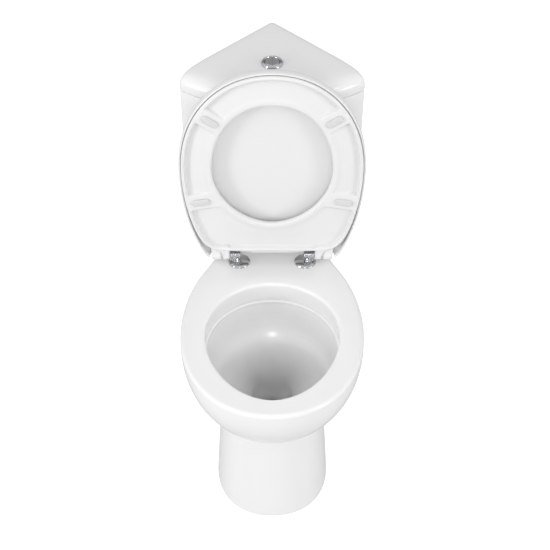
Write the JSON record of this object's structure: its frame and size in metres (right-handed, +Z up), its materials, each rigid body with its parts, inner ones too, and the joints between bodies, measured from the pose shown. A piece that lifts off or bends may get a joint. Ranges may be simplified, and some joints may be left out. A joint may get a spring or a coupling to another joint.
{
  "type": "corner close coupled toilet",
  "caption": "Corner close coupled toilet: open box-rim pan, right-angled cistern for a room corner, push-button lid, raised ring seat and cover on chrome hinges.",
  "frame": {"origin": "on the floor, in the middle of the object's box: halfway between the room corner and the front of the rim, on the plane of symmetry", "axes": "+X to the right seen from the front, -Y to the front, +Y to the room corner, +Z up"},
  "size_m": [0.382, 0.794, 0.8707],
  "materials": {
    "china": "white vitreous china, glossy glaze",
    "seat_white": "white moulded thermoset plastic, gloss",
    "buffer_grey": "light grey soft plastic",
    "chrome": "polished chrome",
    "button_mirror": "polished chrome, mirror",
    "steel": "stainless steel",
    "brass": "bare brass",
    "white_plastic": "white moulded plastic",
    "grey_plastic": "grey moulded plastic",
    "rubber": "black rubber"
  },
  "bodies": {
    "base": {"pan": "china", "cistern": "china", "flush_valve_body": "white_plastic", "flush_valve_cap": "grey_plastic", "flush_valve_nut": "white_plastic", "coupling_seal": "rubber", "right_cistern_bolt": "brass", "right_bolt_washer": "rubber", "right_wing_nut": "brass", "left_cistern_bolt": "brass", "left_bolt_washer": "rubber", "left_wing_nut": "brass", "fill_valve_body": "white_plastic", "fill_valve_nut": "white_plastic", "float_pivot_pin": "steel", "right_floor_screw": "steel", "right_screw_cap": "white_plastic", "left_floor_screw": "steel", "left_screw_cap": "white_plastic", "right_hinge_cap": "chrome", "right_hinge_post": "chrome", "right_hinge_pin": "steel", "right_seat_bolt": "steel", "right_seat_nut": "white_plastic", "left_hinge_cap": "chrome", "left_hinge_post": "chrome", "left_hinge_pin": "steel", "left_seat_bolt": "steel", "left_seat_nut": "white_plastic"},
    "lid": {"cistern_lid": "china", "button_bezel": "chrome", "button_body": "white_plastic", "button_nut": "white_plastic"},
    "full_button": {"full_flush_button": "button_mirror", "full_push_rod": "grey_plastic"},
    "half_button": {"half_flush_button": "button_mirror", "half_push_rod": "grey_plastic"},
    "plunger": {"overflow_tube": "grey_plastic", "valve_seal": "rubber"},
    "float": {"float_arm": "grey_plastic", "float_cup": "white_plastic", "float_screw": "brass"},
    "seat": {"seat": "seat_white", "front_right_seat_buffer": "buffer_grey", "front_left_seat_buffer": "buffer_grey", "back_right_seat_buffer": "buffer_grey", "back_left_seat_buffer": "buffer_grey"},
    "cover": {"cover": "seat_white", "right_cover_buffer": "buffer_grey", "left_cover_buffer": "buffer_grey"}
  },
  "joints": [
    {"name": "seat_hinge", "type": "hinge", "parent": "base", "child": "seat", "pos_m": [0, 0.051, 0.422], "axis": [1, 0, 0], "range_deg": [0, 93.5]},
    {"name": "cover_hinge", "type": "hinge", "parent": "base", "child": "cover", "pos_m": [0, 0.051, 0.422], "axis": [1, 0, 0], "range_deg": [0, 93.5]},
    {"name": "lid_lift", "type": "slide", "parent": "base", "child": "lid", "axis": [0, 0, 1], "range_m": [0, 0.2]},
    {"name": "full_flush_press", "type": "slide", "parent": "lid", "child": "full_button", "axis": [0, 0, -1], "range_m": [0, 0.008], "stiffness_N_per_m": 1500},
    {"name": "half_flush_press", "type": "slide", "parent": "lid", "child": "half_button", "axis": [0, 0, -1], "range_m": [0, 0.008], "stiffness_N_per_m": 1500},
    {"name": "valve_lift", "type": "slide", "parent": "base", "child": "plunger", "axis": [0, 0, 1], "range_m": [0, 0.012]},
    {"name": "float_rise", "type": "hinge", "parent": "base", "child": "float", "pos_m": [-0.11, 0.221, 0.633], "axis": [0, -1, 0], "range_deg": [0, 12], "stiffness_Nm_per_rad": 1}
  ],
  "couplings": [
    {"joint": "cover_hinge", "follows": "seat_hinge", "ratio": 1},
    {"joint": "valve_lift", "follows": "full_flush_press", "ratio": 1.5}
  ]
}
